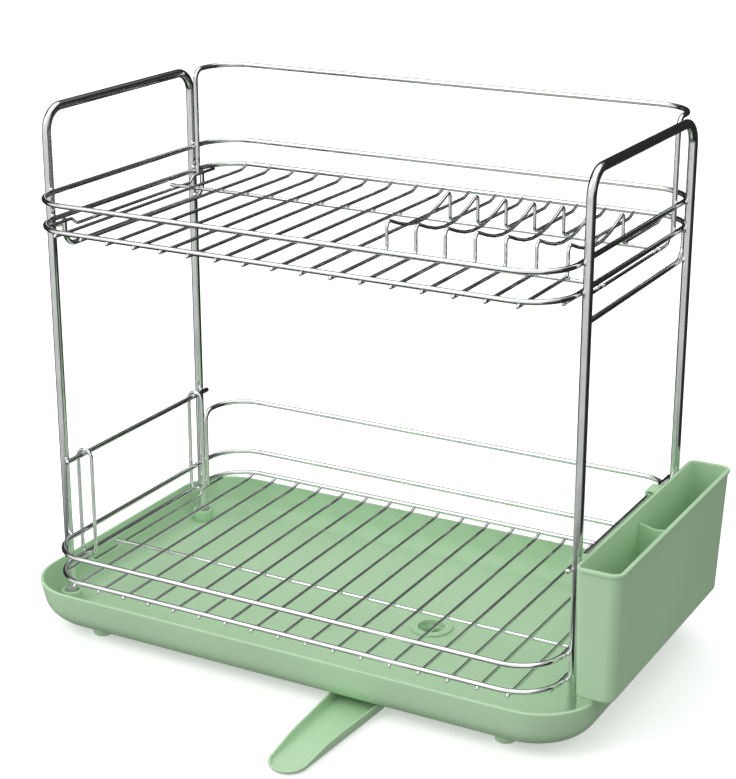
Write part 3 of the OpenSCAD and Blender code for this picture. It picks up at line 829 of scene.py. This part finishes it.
# Rings joined into a skin whose two ends are flat faces of many sides.
def cappedFlat(rings):
    rows, columns = rings.shape[:2]
    return rings.reshape(-1, 3), gridFaces(rows, columns, False, True), [
        list(range(columns))[::-1], list(range((rows - 1) * columns, rows * columns))]


def flatCapped(shells):
    verts, faces, base = [], [], 0
    for v, q, caps in shells:
        verts.append(v)
        faces += (q + base).tolist() + [[i + base for i in cap] for cap in caps]
        base += len(v)
    return np.vstack(verts), faces


addPiece("cutlery-holder", together([holderShell(), slotBars()]), greenSkin, "cutlery", ["cutlery_shell"])
addPiece("cutlery-partition-wall", partitionShell(), greenSkin, "cutlery", ["cutlery_partition"])
low, high = boxOf("cutlery_hooks")
hookYs = (low[1] + hook["width"] / 2, high[1] - hook["width"] / 2)
hookVerts, hookFaces = flatCapped([hookShell(y) for y in hookYs])
addPiece("cutlery-hook-pair", (hookVerts, hookFaces, []), greenSkin, "cutlery", ["cutlery_hooks"])
print("cutlery holder ready")


# ---- stage, light and camera ----
studio = {
    "floorSize": 6.0,
    "floorGlow": 0.36,
    "keyPower": 14, "keySize": 1.2, "keyPlace": (-1.1, -1.7, 1.9),
    "fillPower": 2, "fillSize": 1.4, "fillPlace": (1.9, -0.6, 1.2),
    "air": 0.66, "airSlope": (-0.22, -0.10, 0.50),   # soft light, and how it grows along X, Y and Z
    "roof": 1.6, "strip": 0.16, "shade": 0.025,      # brightness of what polished metal mirrors
}
mirror = {  # where the dark and pale cards begin and end, as parts of the direction along X, Y or Z
    "frontY": (-0.35, -0.05), "lowZ": (-0.52, -0.42), "farX": (0.72, 0.80), "risingZ": (-0.45, 0.10),
    "stripZ": (0.52, 0.58), "roofZ": (0.72, 0.84),
}


def floorMaterial():
    material, tree, shader = newMaterial("paleTable")
    place = tree.nodes.new("ShaderNodeTexCoord")
    cloud = addNode(tree, "ShaderNodeTexNoise", Scale=6.0, Detail=3.0)
    tone = rampNode(tree, [(0.3, grey(0.95)), (0.7, grey(0.965))])
    tree.links.new(place.outputs["Object"], cloud.inputs["Vector"])
    tree.links.new(cloud.outputs["Fac"], tone.inputs["Fac"])
    tree.links.new(tone.outputs["Color"], shader.inputs["Base Color"])
    shader.inputs["Roughness"].default_value = 0.9
    shader.inputs["Specular IOR Level"].default_value = 0.1
    shader.inputs["Emission Color"].default_value = (1, 1, 1, 1)
    shader.inputs["Emission Strength"].default_value = studio["floorGlow"]
    return material


size = studio["floorSize"]
floorMesh = bpy.data.meshes.new("table")
floorCorners = [(-size, -size, 0), (size, -size, 0), (size, size, 0), (-size, size, 0)]
floorMesh.from_pydata(floorCorners, [], [(0, 1, 2, 3)])
floorMesh.materials.append(floorMaterial())
table = bpy.data.objects.new("table", floorMesh)
bpy.context.scene.collection.objects.link(table)
table.location.z = -0.2 * mm
table.visible_glossy = False
table.visible_diffuse = False


def areaLight(name, power, width, place, target):
    light = bpy.data.lights.new(name, "AREA")
    light.energy = power
    light.size = width
    lamp = bpy.data.objects.new(name, light)
    bpy.context.scene.collection.objects.link(lamp)
    lamp.location = place
    way = Vector(target) - Vector(place)
    lamp.rotation_euler = way.to_track_quat("-Z", "Y").to_euler()
    return lamp


centre = (np.array(cadLow) + np.array(cadHigh)) / 2
areaLight("keyLight", studio["keyPower"], studio["keySize"], studio["keyPlace"], centre)
areaLight("fillLight", studio["fillPower"], studio["fillSize"], studio["fillPlace"], centre)

world = bpy.data.worlds.new("studio")
bpy.context.scene.world = world
world.use_nodes = True
tree = world.node_tree
tree.nodes.clear()
link = tree.links.new
out = tree.nodes.new("ShaderNodeOutputWorld")
sky = tree.nodes.new("ShaderNodeBackground")
place = tree.nodes.new("ShaderNodeTexCoord")
split = tree.nodes.new("ShaderNodeSeparateXYZ")
link(place.outputs["Generated"], split.inputs["Vector"])


# Soft step of a value, from one level to another between two limits.
def step(source, start, stop, low=0.0, high=1.0):
    node = tree.nodes.new("ShaderNodeMapRange")
    node.interpolation_type = "SMOOTHSTEP"
    link(source, node.inputs["Value"])
    for key, value in (("From Min", start), ("From Max", stop), ("To Min", low), ("To Max", high)):
        node.inputs[key].default_value = value
    return node.outputs["Result"]


def combine(kind, one, two):
    node = tree.nodes.new("ShaderNodeMath")
    node.operation = kind
    for socket, value in zip(node.inputs, (one, two)):
        if isinstance(value, float):
            socket.default_value = value
        else:
            link(value, socket)
    return node.outputs["Value"]


# Polished metal mirrors pale cards in front and overhead, and dark cards behind, below and far to the right.
x, y, z = split.outputs["X"], split.outputs["Y"], split.outputs["Z"]
lit = combine("MULTIPLY", step(y, *mirror["frontY"], 1.0, 0.0), step(z, *mirror["lowZ"]))
lit = combine("MULTIPLY", lit, step(x, *mirror["farX"], 1.0, 0.15))
lit = combine("MULTIPLY", lit, step(z, *mirror["risingZ"], 0.62, 1.0))
strip = combine("MULTIPLY", step(z, *mirror["stripZ"]), studio["strip"])
roof = step(z, *mirror["roofZ"], 0.0, studio["roof"])
mirrored = combine("MAXIMUM", combine("MAXIMUM", lit, strip), combine("MAXIMUM", roof, studio["shade"]))
slope = tree.nodes.new("ShaderNodeVectorMath")
slope.operation = "DOT_PRODUCT"
link(place.outputs["Generated"], slope.inputs[0])
slope.inputs[1].default_value = studio["airSlope"]
soft = combine("ADD", slope.outputs["Value"], studio["air"])
rays = tree.nodes.new("ShaderNodeLightPath")
choices = []
for ray, yes, no in (("Is Glossy Ray", mirrored, soft), ("Is Camera Ray", 1.0, None)):
    node = tree.nodes.new("ShaderNodeMix")
    node.data_type = "FLOAT"
    link(rays.outputs[ray], node.inputs["Factor"])
    link(choices[-1] if no is None else no, node.inputs["A"])
    if isinstance(yes, float):
        node.inputs["B"].default_value = yes
    else:
        link(yes, node.inputs["B"])
    choices.append(node.outputs["Result"])
link(choices[-1], sky.inputs["Strength"])
link(sky.outputs["Background"], out.inputs["Surface"])
sky.inputs["Color"].default_value = (1, 1, 1, 1)
bpy.context.scene.view_settings.view_transform = "Standard"

# the camera stands to the front right, measured from the middle of the rack; metres, degrees, millimetres
view = {"place": (0.6756, -1.2262, 0.6893), "azimuth": 28.77, "elevation": 19.18, "lens": 88.1,
        "sensor": 36}
cameraData = bpy.data.cameras.new("viewCamera")
cameraData.lens = view["lens"]
cameraData.sensor_width = view["sensor"]
camera = bpy.data.objects.new("viewCamera", cameraData)
bpy.context.scene.collection.objects.link(camera)
camera.location = (midX + view["place"][0], midY + view["place"][1], view["place"][2])
camera.rotation_euler = (math.radians(90 - view["elevation"]), 0, math.radians(view["azimuth"]))
cameraData.clip_start = 0.05
bpy.context.scene.camera = camera
print("stage ready;", sum(n for _, n in pieceNotes), "triangles in", len(pieceNotes), "pieces")
